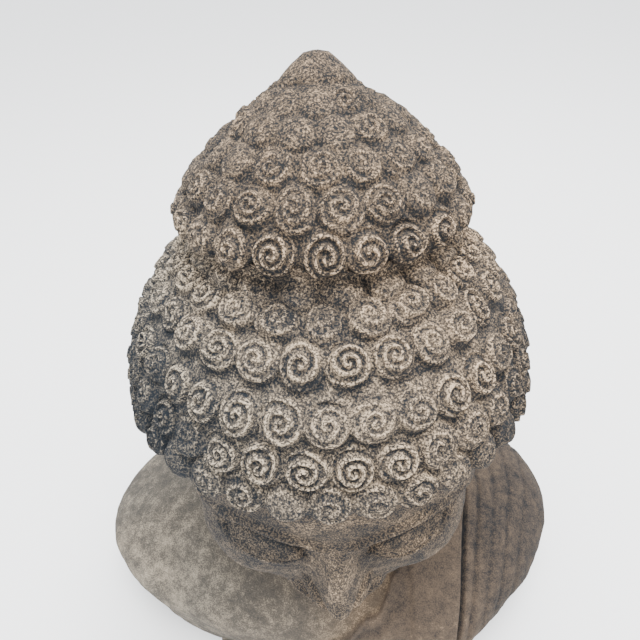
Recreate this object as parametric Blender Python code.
"""Stone bust of a Buddha: a head covered in snail curls, cut flat below the shoulders.

The bust is one block of stone, so it is one closed solid. Its form is a field made of
blended ellipsoids and a turned topknot. The field is skinned on a cubic grid, each point
is settled onto the form, and the carving is then raised or sunk along the surface. Free
form is given in shares of the head's half width. +Z is up, the face looks along -Y and
the origin is the middle of the underside.
"""

import itertools
import math

import bmesh
import bpy
import numpy as np
from mathutils import Vector
from mathutils.kdtree import KDTree

# Driving sizes in metres
HEAD_HALF_WIDTH = 0.100
HEAD_HEIGHT = 0.240
ROBED_SHOULDER_WIDTH = 0.165
BARE_SHOULDER_WIDTH = 0.173
SHOULDER_HALF_DEPTH = 0.094
ROBED_FRONT_DEPTH = 0.125
CURL_PITCH = 0.0156
CURL_RELIEF = 0.0048
KNOB_RELIEF = 0.0050

# Make of the mesh
GRID_STEP = 0.0023
TRIANGLE_BUDGET = 9700
CUT_ALLOWANCE = 0.008

# The head, in shares of its half width, measured from the middle of the hair cap
HAIR_RADII = np.array([0.955, 1.055, 0.915])
SKULL_RADII = np.array([0.890, 0.980, 0.850])
HEAD_LEAN = math.radians(7.0)
FOREHEAD_LINE = 0.095
EAR_LINE = -0.03
NAPE_LINE = -0.62
RING_HEIGHTS = (0.752, 0.695, 0.594, 0.44, 0.30, 0.17, 0.03, -0.11, -0.25, -0.39, -0.53)
RING_LEAD = -0.13
CURL_FILL = 0.53

# The topknot: height above the middle of the head against half width, rim to tip
TOPKNOT_OFFSET = -0.03
TOPKNOT_HEIGHTS = (0.70, 0.79, 0.84, 0.90, 0.98, 1.08, 1.17, 1.25, 1.30, 1.335, 1.365, 1.405, 1.44, 1.455)
TOPKNOT_WIDTHS = (0.50, 0.55, 0.585, 0.585, 0.545, 0.465, 0.375, 0.28, 0.205, 0.16, 0.135, 0.095, 0.05, 0.0)
KNOB_HEIGHTS = (0.905, 1.03, 1.155, 1.26, 1.325)
KNOB_SIZES = (1.0, 0.97, 0.95, 0.88, 0.78)
KNOB_WEAR = (0.0, 0.15, 0.35, 0.50, 0.75)
PROFILE_REACH = 0.04

# The face and the ears, in the same shares
EYE_SPACING = 0.335
EYE_LEVEL = -0.385
NOSE_BASE = -0.70
MOUTH_LEVEL = -0.885
EAR_DEPTH = 0.10
EAR_LEVEL = -0.37
EAR_HALF_DEPTH = 0.20
EAR_HALF_HEIGHT = 0.31

# Where the carving stops: hair, face and ears
HAIR_EDGE = 0.045
FACE_EDGE = -0.35
JAW_LEVEL = -1.30
EAR_FLANK = 0.60
NECK_FOLD_LEVELS = (-1.28, -1.38)

# The trunk, in the same shares
TRUNK_CENTRE_DEPTH = 0.10
SHOULDER_LEVEL = -1.86
SHOULDER_RISE = 0.44
TRUNK_TAPER = 0.07
ROBED_SQUARENESS = 1.65
BARE_SQUARENESS = 2.12
BACK_SQUARENESS = 2.3
NECK_RADII = (0.50, 0.47)
NECK_CENTRE_DEPTH = 0.06
NECK_TOP = -0.45

# Levels past which the head or the trunk is too far off to matter
HEAD_REACH = -1.75
TRUNK_REACH = -0.30
FAR = 10.0

STONE_COLOUR = (0.30, 0.27, 0.245, 1.0)
STONE_ROUGHNESS = 0.92


def smooth_step(low, high, value):
    """Return 0 below low, 1 above high and a smooth ramp between them."""
    t = np.clip((value - low) / (high - low), 0.0, 1.0)
    return t * t * (3.0 - 2.0 * t)


def smooth_join(a, b, blend):
    """Return the union of two fields, rounded over the blend distance."""
    h = np.clip(0.5 + 0.5 * (b - a) / blend, 0.0, 1.0)
    return b + (a - b) * h - blend * h * (1.0 - h)


def smooth_cut(a, b, blend):
    """Return the overlap of two fields, rounded over the blend distance."""
    return -smooth_join(-a, -b, blend)


def ridge(offset, width):
    """Return a soft ridge of height one around a zero offset."""
    return np.exp(-((offset / width) ** 2))


def dome(x, z, centre, radii):
    """Return a round-topped mound of height one inside an ellipse."""
    r = ((x - centre[0]) / radii[0]) ** 2 + ((z - centre[1]) / radii[1]) ** 2
    return np.sqrt(np.clip(1.0 - r, 0.0, 1.0))


def ellipsoid(p, centre, radii):
    """Return the near-true distance of the points to an ellipsoid."""
    q = p - np.asarray(centre)
    radii = np.asarray(radii)
    outer = np.linalg.norm(q / radii, axis=1)
    inner = np.linalg.norm(q / radii**2, axis=1)
    return outer * (outer - 1.0) / np.maximum(inner, 1e-9)


def lean_back(p):
    """Turn the points into the frame of the hair rings, which lean back."""
    c, s = math.cos(HEAD_LEAN), math.sin(HEAD_LEAN)
    return np.column_stack((p[:, 0], p[:, 1] * c - p[:, 2] * s, p[:, 1] * s + p[:, 2] * c))


def stand_up(q):
    """Turn points of the ring frame back into the upright frame."""
    c, s = math.cos(HEAD_LEAN), math.sin(HEAD_LEAN)
    return np.column_stack((q[:, 0], q[:, 1] * c + q[:, 2] * s, -q[:, 1] * s + q[:, 2] * c))


def hair_line(x, y):
    """Return the height of the hair's lower edge: forehead, over the ear, then nape."""
    turn = np.degrees(np.arctan2(np.abs(x), -y))
    line = FOREHEAD_LINE + (EAR_LINE - FOREHEAD_LINE) * smooth_step(48.0, 68.0, turn)
    return line + (NAPE_LINE - EAR_LINE) * smooth_step(94.0, 108.0, turn)


def hair_field(q):
    """Return the field of the hair cap in the ring frame."""
    hair = ellipsoid(q, (0.0, 0.0, 0.0), HAIR_RADII)
    return smooth_cut(hair, 0.8 * (hair_line(q[:, 0], q[:, 1]) - q[:, 2]), 0.03)


def topknot_width(height):
    """Return the half width of the topknot at the height."""
    return np.interp(height, TOPKNOT_HEIGHTS, TOPKNOT_WIDTHS)


def topknot_field(q):
    """Return the field of the turned topknot in the ring frame."""
    around = np.hypot(q[:, 0], q[:, 1] - TOPKNOT_OFFSET)
    slope = topknot_width(q[:, 2] + 0.5 * PROFILE_REACH) - topknot_width(q[:, 2] - 0.5 * PROFILE_REACH)
    side = (around - topknot_width(q[:, 2])) / np.sqrt(1.0 + (slope / PROFILE_REACH) ** 2)
    return np.maximum(np.maximum(side, q[:, 2] - TOPKNOT_HEIGHTS[-1]), TOPKNOT_HEIGHTS[0] - q[:, 2])


def ear_field(mirrored):
    """Return the field of a long ear, its lobe joined to the jaw."""
    ear = ellipsoid(mirrored, (0.860, EAR_DEPTH, EAR_LEVEL), (0.145, 0.225, 0.33))
    lobe = ellipsoid(mirrored, (0.695, 0.05, -0.80), (0.175, 0.130, 0.36))
    behind = ellipsoid(mirrored, (0.52, 0.20, -0.66), (0.26, 0.27, 0.34))
    return smooth_join(smooth_join(ear, lobe, 0.12), behind, 0.08)


def head_field(p):
    """Return the field of skull, hair cap, topknot, face and ears."""
    q = lean_back(p)
    skull = ellipsoid(q, (0.0, 0.0, 0.0), SKULL_RADII)
    mirrored = np.column_stack((np.abs(p[:, 0]), p[:, 1], p[:, 2]))
    face = ellipsoid(p, (0.0, -0.17, -0.42), (0.76, 0.75, 0.82))
    face = smooth_join(face, ellipsoid(mirrored, (0.36, -0.50, -0.62), (0.33, 0.34, 0.36)), 0.14)
    face = smooth_join(face, ellipsoid(p, (0.0, -0.62, -0.86), (0.34, 0.29, 0.27)), 0.12)
    face = smooth_join(face, ellipsoid(p, (0.0, -0.62, -1.04), (0.27, 0.27, 0.22)), 0.12)
    skull = smooth_join(skull, face, 0.10)
    skull = smooth_join(skull, hair_field(q), 0.015)
    skull = smooth_join(skull, ear_field(mirrored), 0.04)
    return smooth_join(skull, topknot_field(q), 0.02)


def trunk_field(p):
    """Return the field of the neck and the cut shoulders."""
    half_width = np.where(p[:, 0] > 0.0, ROBED_SHOULDER_WIDTH, BARE_SHOULDER_WIDTH) / HEAD_HALF_WIDTH
    forward = smooth_step(0.0, 0.9, p[:, 0]) * (p[:, 1] < TRUNK_CENTRE_DEPTH)
    half_depth = SHOULDER_HALF_DEPTH + (ROBED_FRONT_DEPTH - SHOULDER_HALF_DEPTH) * forward
    half_depth = half_depth / HEAD_HALF_WIDTH
    below = np.clip(SHOULDER_LEVEL - p[:, 2], 0.0, None)
    taper = 1.0 - TRUNK_TAPER * below
    u = np.abs(p[:, 0]) / (half_width * taper)
    v = np.abs(p[:, 1] - TRUNK_CENTRE_DEPTH) / (half_depth * taper)
    w = np.clip(p[:, 2] - SHOULDER_LEVEL, 0.0, None) / SHOULDER_RISE
    square = np.where(p[:, 0] > 0.0, ROBED_SQUARENESS, BARE_SQUARENESS)
    square = np.where(p[:, 1] < TRUNK_CENTRE_DEPTH, square, BACK_SQUARENESS)
    ring = (u**square + v**square) ** (1.0 / square)
    trunk = ((ring**2.2 + w**2.2) ** (1.0 / 2.2) - 1.0) * 0.62
    slope = ellipsoid(p, (0.0, 0.16, -1.50), (1.00, 0.46, 0.30))
    chest = ellipsoid(p, (0.0, -0.30, -2.15), (0.95, 0.58, 0.72))
    trunk = smooth_join(smooth_join(trunk, slope, 0.20), chest, 0.15)
    around = np.hypot(p[:, 0] / NECK_RADII[0], (p[:, 1] - NECK_CENTRE_DEPTH) / NECK_RADII[1])
    neck = (around - 1.0) * 0.48
    neck = smooth_cut(neck, p[:, 2] - NECK_TOP, 0.1)
    neck = np.maximum(neck, -1.9 - p[:, 2])
    return smooth_join(trunk, neck, 0.22)


def bust_field(points):
    """Return the field of the whole bust at points in metres."""
    p = (points - np.array([0.0, 0.0, HEAD_HEIGHT])) / HEAD_HALF_WIDTH
    head = np.full(len(p), FAR)
    trunk = np.full(len(p), FAR)
    upper = p[:, 2] > HEAD_REACH
    lower = p[:, 2] < TRUNK_REACH
    head[upper] = head_field(p[upper])
    trunk[lower] = trunk_field(p[lower])
    whole = smooth_join(head, trunk, 0.08)
    floor = (-CUT_ALLOWANCE - points[:, 2]) / HEAD_HALF_WIDTH
    return np.maximum(whole, floor) * HEAD_HALF_WIDTH


def grid_cells():
    """Return the lowest corner of the sampling grid and its cell counts."""
    room = 3.0 * GRID_STEP
    half_x = max(ROBED_SHOULDER_WIDTH, BARE_SHOULDER_WIDTH, 1.05 * HEAD_HALF_WIDTH) + room
    half_y = max(1.25 * HEAD_HALF_WIDTH, SHOULDER_HALF_DEPTH + 0.15 * HEAD_HALF_WIDTH) + room
    low = np.array([-half_x, -half_y, -CUT_ALLOWANCE - room])
    high = np.array([half_x, half_y, HEAD_HEIGHT + 1.5 * HEAD_HALF_WIDTH + room])
    return low, np.ceil((high - low) / GRID_STEP).astype(int) + 1


def skin_field():
    """Skin the field with one vertex in each cell that it crosses.

    Returns the vertices in metres and the quads that join them.
    """
    low, counts = grid_cells()
    axes = [low[i] + GRID_STEP * np.arange(counts[i]) for i in range(3)]
    field = np.empty(counts)
    across, along = np.meshgrid(axes[0], axes[1], indexing="ij")
    for level, z in enumerate(axes[2]):
        sheet = np.column_stack((across.ravel(), along.ravel(), np.full(across.size, z)))
        field[:, :, level] = bust_field(sheet).reshape(across.shape)
    inside = field < 0.0
    corners = list(itertools.product((0, 1), repeat=3))
    spans = tuple(counts - 1)
    filled = np.zeros(spans, dtype=int)
    for i, j, k in corners:
        filled += inside[i : i + spans[0], j : j + spans[1], k : k + spans[2]]
    cells = np.argwhere((filled > 0) & (filled < 8))
    number = np.full(spans, -1)
    number[tuple(cells.T)] = np.arange(len(cells))
    total = np.zeros((len(cells), 3))
    weight = np.zeros(len(cells))
    for a in corners:
        for axis in range(3):
            if a[axis]:
                continue
            b = tuple(1 if n == axis else a[n] for n in range(3))
            fa = field[tuple((cells + a).T)]
            fb = field[tuple((cells + b).T)]
            crossed = (fa < 0.0) != (fb < 0.0)
            share = np.where(crossed, fa / np.where(crossed, fa - fb, 1.0), 0.0)
            place = np.array(a) + share[:, None] * (np.array(b) - np.array(a))
            total += np.where(crossed[:, None], place, 0.0)
            weight += crossed
    vertices = low + GRID_STEP * (cells + total / weight[:, None])
    return vertices, np.concatenate([quads_across(inside, number, axis) for axis in range(3)])


def quads_across(inside, number, axis):
    """Return one quad around each grid edge of the axis that the skin crosses."""
    first = np.moveaxis(inside, axis, 0)
    cells = np.moveaxis(number, axis, 0)
    crossing = first[:-1, 1:-1, 1:-1] != first[1:, 1:-1, 1:-1]
    i, j, k = np.nonzero(crossing)
    ring = [cells[i, j, k], cells[i, j + 1, k], cells[i, j + 1, k + 1], cells[i, j, k + 1]]
    quads = np.column_stack(ring)
    leaving = first[:-1, 1:-1, 1:-1][i, j, k]
    flip = leaving if axis != 1 else ~leaving
    quads[~flip] = quads[~flip][:, ::-1]
    return quads


def mesh_from(name, vertices, faces):
    """Return a new mesh made of the vertices and faces."""
    mesh = bpy.data.meshes.new(name)
    mesh.from_pydata(vertices.tolist(), [], faces.tolist())
    mesh.update()
    return mesh


def read_points(mesh):
    """Return the mesh's vertex places and normals as two arrays."""
    places = np.empty(len(mesh.vertices) * 3)
    normals = np.empty(len(mesh.vertices) * 3)
    mesh.vertices.foreach_get("co", places)
    mesh.vertices.foreach_get("normal", normals)
    return places.reshape(-1, 3), normals.reshape(-1, 3)


def write_points(mesh, places):
    """Move the mesh's vertices to the given places."""
    mesh.vertices.foreach_set("co", places.ravel())
    mesh.update()


def settle(mesh, rounds):
    """Slide each vertex along its normal until it lies on the form."""
    probe = 0.05 * GRID_STEP
    for _ in range(rounds):
        places, normals = read_points(mesh)
        here = bust_field(places)
        slope = (bust_field(places + probe * normals) - here) / probe
        step = np.clip(here / np.clip(slope, 0.4, 2.0), -GRID_STEP, GRID_STEP)
        write_points(mesh, places - step[:, None] * normals)


def ring_places(width, depth, pitch, start):
    """Return angles around an ellipse, evenly spaced along it from the start share of a pitch."""
    fine = np.linspace(0.0, 2.0 * math.pi, 721)
    x = width * np.sin(fine)
    y = -depth * np.cos(fine)
    travel = np.concatenate(([0.0], np.cumsum(np.hypot(np.diff(x), np.diff(y)))))
    count = max(5, round(travel[-1] / pitch))
    wanted = (np.arange(count) + start) * travel[-1] / count
    return np.interp(wanted, travel, fine)


def hair_ring(row):
    """Return the centres and outward normals of one ring of curls, in the ring frame."""
    pitch = CURL_PITCH / HEAD_HALF_WIDTH
    height = RING_HEIGHTS[row]
    width, depth = HAIR_RADII[:2] * math.sqrt(1.0 - (height / HAIR_RADII[2]) ** 2)
    turns = ring_places(width, depth, pitch, 0.5 * (row % 2) + 0.5 + RING_LEAD)
    level = np.full(len(turns), height)
    q = np.column_stack((width * np.sin(turns), -depth * np.cos(turns), level))
    q = q[height > hair_line(q[:, 0], q[:, 1]) + 0.35 * pitch]
    out = q / HAIR_RADII**2
    return q, out / np.linalg.norm(out, axis=1, keepdims=True)


def knob_ring(row):
    """Return the centres and outward normals of one ring of knobs, in the ring frame."""
    height = KNOB_HEIGHTS[row]
    width = topknot_width(height)
    pitch = CURL_PITCH / HEAD_HALF_WIDTH * KNOB_SIZES[row]
    turns = ring_places(width, width, pitch, 0.5 * (row % 2) + RING_LEAD)
    level = np.full(len(turns), height)
    q = np.column_stack((width * np.sin(turns), TOPKNOT_OFFSET - width * np.cos(turns), level))
    drop = topknot_width(height - PROFILE_REACH) - topknot_width(height + PROFILE_REACH)
    rise = np.full(len(turns), 0.5 * drop / PROFILE_REACH)
    out = np.column_stack((np.sin(turns), -np.cos(turns), rise))
    return q, out / np.linalg.norm(out, axis=1, keepdims=True)


def curl_centres():
    """Return the centres, outward normals, radii and reliefs of all curls, in shares."""
    rings = [hair_ring(row) for row in range(len(RING_HEIGHTS))]
    rings += [knob_ring(row) for row in range(len(KNOB_HEIGHTS))]
    sizes = (1.0,) * len(RING_HEIGHTS) + KNOB_SIZES
    heights = [CURL_RELIEF] * len(RING_HEIGHTS)
    heights += [KNOB_RELIEF * (1.0 - wear) for wear in KNOB_WEAR]
    centres = stand_up(np.concatenate([places for places, _ in rings]))
    normals = stand_up(np.concatenate([out for _, out in rings]))
    counts = [len(places) for places, _ in rings]
    radii = np.repeat(sizes, counts) * CURL_FILL * CURL_PITCH / HEAD_HALF_WIDTH
    return centres, normals, radii, np.repeat(heights, counts) / HEAD_HALF_WIDTH


def curl_relief(p):
    """Return how far the curls raise each point along the surface."""
    centres, normals, radii, reliefs = curl_centres()
    tree = KDTree(len(centres))
    for n, centre in enumerate(centres):
        tree.insert(centre, n)
    tree.balance()
    nearest = np.array([tree.find(Vector(point))[1] for point in p])
    away = p - centres[nearest]
    lift = (away * normals[nearest]).sum(axis=1)
    spread = np.sqrt(np.clip((away**2).sum(axis=1) - lift**2, 0.0, None)) / radii[nearest]
    raised = reliefs[nearest] * np.sqrt(np.clip(1.0 - spread**3, 0.0, 1.0))
    q = lean_back(p)
    on_hair = smooth_step(HAIR_EDGE, HAIR_EDGE - 0.02, np.minimum(hair_field(q), topknot_field(q)))
    return np.where(np.abs(lift) < 0.12, raised, 0.0) * on_hair


def eye_relief(x, z):
    """Return the relief of brows, sockets and closed lids."""
    brow = -0.205 + 0.15 * np.sin(math.pi * np.clip((x - 0.03) / 0.70, 0.0, 1.0)) ** 0.8
    on_brow = smooth_step(0.02, 0.08, x) * smooth_step(0.74, 0.60, x)
    relief = 0.034 * ridge(z - brow, 0.030) * on_brow
    relief -= 0.070 * dome(x, z, (EYE_SPACING + 0.005, EYE_LEVEL + 0.065), (0.27, 0.17)) ** 2
    relief += 0.075 * dome(x, z, (EYE_SPACING, EYE_LEVEL - 0.005), (0.180, 0.098))
    across = (x - EYE_SPACING) / 0.17
    on_lid = smooth_step(0.215, 0.175, np.abs(x - EYE_SPACING))
    lid = EYE_LEVEL - 0.052 + 0.032 * across**2
    return relief - 0.026 * ridge(z - lid, 0.012) * on_lid


def nose_relief(x, z):
    """Return the relief of the nose and its wings."""
    down = np.clip((-0.20 - z) / 0.42, 0.0, 1.0)
    end = smooth_step(NOSE_BASE - 0.02, NOSE_BASE + 0.12, z)
    bridge = (0.035 + 0.150 * np.sin(0.5 * math.pi * down)) * end * smooth_step(-0.10, -0.22, z)
    relief = bridge * np.exp(-((x / (0.052 + 0.062 * down)) ** 2.4))
    relief += 0.034 * ridge(x, 0.085) * ridge(z - NOSE_BASE - 0.085, 0.068)
    return relief + 0.080 * dome(x, z, (0.118, NOSE_BASE + 0.062), (0.062, 0.058)) ** 1.5


def mouth_relief(x, z):
    """Return the relief of lips, chin and the hollow between them."""
    spread = np.clip(1.0 - (x / 0.26) ** 2, 0.0, 1.0)
    upper = MOUTH_LEVEL + 0.038 + 0.024 * (x / 0.25) ** 2
    relief = 0.060 * ridge(z - upper, 0.030) * np.sqrt(spread)
    relief += 0.068 * ridge(z - MOUTH_LEVEL + 0.043, 0.040) * np.clip(1.0 - (x / 0.20) ** 2, 0.0, 1.0)
    part = MOUTH_LEVEL + 0.03 * (x / 0.25) ** 2
    relief -= 0.035 * ridge(z - part, 0.013) * smooth_step(0.29, 0.24, x)
    relief -= 0.025 * ridge(z - MOUTH_LEVEL + 0.10, 0.03) * ridge(x, 0.18)
    return relief + 0.035 * dome(x, z, (0.0, -1.08), (0.17, 0.12))


def face_relief(x, z):
    """Return the relief of the face towards the front."""
    x = np.abs(x)
    return eye_relief(x, z) + nose_relief(x, z) + mouth_relief(x, z)


def ear_relief(y, z):
    """Return the relief of the ears towards the sides: rim, inner fold, hollow and slit lobe."""
    around = np.hypot((y - EAR_DEPTH) / EAR_HALF_DEPTH, (z - EAR_LEVEL) / EAR_HALF_HEIGHT)
    relief = 0.034 * ridge(around - 0.86, 0.13) - 0.045 * smooth_step(0.76, 0.60, around)
    fold = np.hypot((y - EAR_DEPTH) / EAR_HALF_DEPTH, (z - EAR_LEVEL - 0.02) / EAR_HALF_HEIGHT)
    relief += 0.036 * ridge(fold - 0.42, 0.12) * smooth_step(0.04, 0.12, y)
    relief -= 0.035 * dome(y, z, (0.07, -0.43), (0.07, 0.09))
    relief += 0.040 * dome(y, z, (-0.055, -0.43), (0.045, 0.065))
    relief -= 0.040 * ridge(around - 1.13, 0.09) * smooth_step(0.08, 0.0, y) * smooth_step(-0.72, -0.62, z)
    relief -= 0.030 * ridge(y + 0.10, 0.028) * smooth_step(-1.10, -1.0, z) * smooth_step(-0.60, -0.70, z)
    return relief - 0.055 * dome(y, z, (0.05, -0.86), (0.035, 0.17))


def robe_relief(p):
    """Return how far the robe stands over the skin, with its hem and folds."""
    x, y, z = p.T
    hem = -1.50 - 0.60 * (0.42 - x) - 0.018 * np.sin(30.0 * x)
    over = np.where(x > 0.42, 1.0, smooth_step(hem + 0.015, hem - 0.015, z))
    over = over * smooth_step(-1.30, -1.42, z - 0.2 * np.clip(0.42 - x, -1.0, 0.0))
    relief = 0.035 * over * smooth_step(0.40, 0.44, x + 10.0 * np.clip(hem - z, 0.0, 1.0))
    stole_edge = 1.03 + 0.26 * np.minimum(y, 0.0)
    relief += 0.025 * smooth_step(0.46, 0.50, x) * smooth_step(stole_edge + 0.02, stole_edge - 0.02, x)
    relief -= 0.045 * ridge(x - stole_edge - 0.015, 0.014) * smooth_step(-1.35, -1.5, z)
    for n in range(1, 5):
        fold = stole_edge + 0.12 * n + 0.04 * n * y
        relief -= 0.018 * ridge(x - fold, 0.016)
    sweep = hem - z + 0.10 * x
    drape = -0.022 * ridge(np.mod(sweep, 0.24) - 0.12, 0.045) * smooth_step(0.02, 0.12, hem - z)
    return relief + drape * smooth_step(0.50, 0.40, x) * (over > 0.5)


def carve(mesh):
    """Raise the curls, face, ears and robe out of the settled form."""
    places, normals = read_points(mesh)
    p = (places - np.array([0.0, 0.0, HEAD_HEIGHT])) / HEAD_HALF_WIDTH
    places += HEAD_HALF_WIDTH * curl_relief(p)[:, None] * normals
    on_face = smooth_step(FACE_EDGE, FACE_EDGE - 0.15, p[:, 1]) * smooth_step(0.1, 0.35, -normals[:, 1])
    on_face = on_face * (p[:, 2] > JAW_LEVEL) * (p[:, 2] < 0.05)
    places[:, 1] -= HEAD_HALF_WIDTH * on_face * face_relief(p[:, 0], p[:, 2])
    q = lean_back(p)
    bare = np.minimum(hair_field(q), topknot_field(q)) > HAIR_EDGE
    on_ear = smooth_step(0.40, 0.75, np.abs(normals[:, 0])) * (np.abs(p[:, 0]) > EAR_FLANK)
    on_ear = on_ear * (np.abs(p[:, 1] - 0.05) < 0.32) * (p[:, 2] > -1.25) * bare
    places[:, 0] += HEAD_HALF_WIDTH * on_ear * ear_relief(p[:, 1], p[:, 2]) * np.sign(p[:, 0])
    folds = np.where(p[:, 2] < JAW_LEVEL, robe_relief(p), 0.0)
    neck = (np.hypot(p[:, 0], p[:, 1]) < 0.75) * (p[:, 2] > -1.5)
    for level in NECK_FOLD_LEVELS:
        folds -= 0.014 * ridge(p[:, 2] - level + 0.1 * p[:, 1] ** 2, 0.016) * neck
    places += HEAD_HALF_WIDTH * folds[:, None] * normals
    write_points(mesh, places)


def thin_out(name, mesh):
    """Return the mesh with flat stretches merged down to the triangle budget."""
    dense = bpy.data.objects.new(name + "_dense", mesh)
    bpy.context.scene.collection.objects.link(dense)
    modifier = dense.modifiers.new("budget", "DECIMATE")
    modifier.ratio = TRIANGLE_BUDGET / (2.0 * len(mesh.polygons))
    evaluated = dense.evaluated_get(bpy.context.evaluated_depsgraph_get())
    thin = bpy.data.meshes.new_from_object(evaluated)
    bpy.data.objects.remove(dense)
    thin.name = name
    return thin


def cut_flat(mesh):
    """Cut the bust off at its underside and close it with a flat face."""
    body = bmesh.new()
    body.from_mesh(mesh)
    everything = body.verts[:] + body.edges[:] + body.faces[:]
    floor = (0.0, 0.0, 0.0)
    down = (0.0, 0.0, -1.0)
    bmesh.ops.bisect_plane(body, geom=everything, dist=1e-6, plane_co=floor, plane_no=down, clear_outer=True)
    rim = [edge for edge in body.edges if edge.is_boundary]
    bmesh.ops.edgeloop_fill(body, edges=rim)
    bmesh.ops.triangulate(body, faces=body.faces[:])
    bmesh.ops.recalc_face_normals(body, faces=body.faces[:])
    body.to_mesh(mesh)
    body.free()
    mesh.update()


def recentre(mesh):
    """Put the middle of the underside's box at the origin."""
    places, _ = read_points(mesh)
    middle = 0.5 * (places.min(axis=0) + places.max(axis=0))
    places[:, :2] -= middle[:2]
    write_points(mesh, places)


def stone():
    """Return the bust's weathered stone."""
    material = bpy.data.materials.new("weathered_stone")
    material.use_nodes = True
    shader = material.node_tree.nodes["Principled BSDF"]
    shader.inputs["Base Color"].default_value = STONE_COLOUR
    shader.inputs["Roughness"].default_value = STONE_ROUGHNESS
    shader.inputs["Metallic"].default_value = 0.0
    return material


def build_bust():
    """Build the bust as one closed solid."""
    vertices, quads = skin_field()
    mesh = mesh_from("buddha_bust", vertices, quads)
    settle(mesh, 4)
    carve(mesh)
    mesh = thin_out("buddha_bust", mesh)
    cut_flat(mesh)
    recentre(mesh)
    bust = bpy.data.objects.new("buddha_bust", mesh)
    bpy.context.scene.collection.objects.link(bust)
    mesh.materials.clear()
    mesh.materials.append(stone())
    return bust


def main():
    """Clear the scene and build the bust."""
    for thing in list(bpy.data.objects):
        bpy.data.objects.remove(thing)
    build_bust()


main()
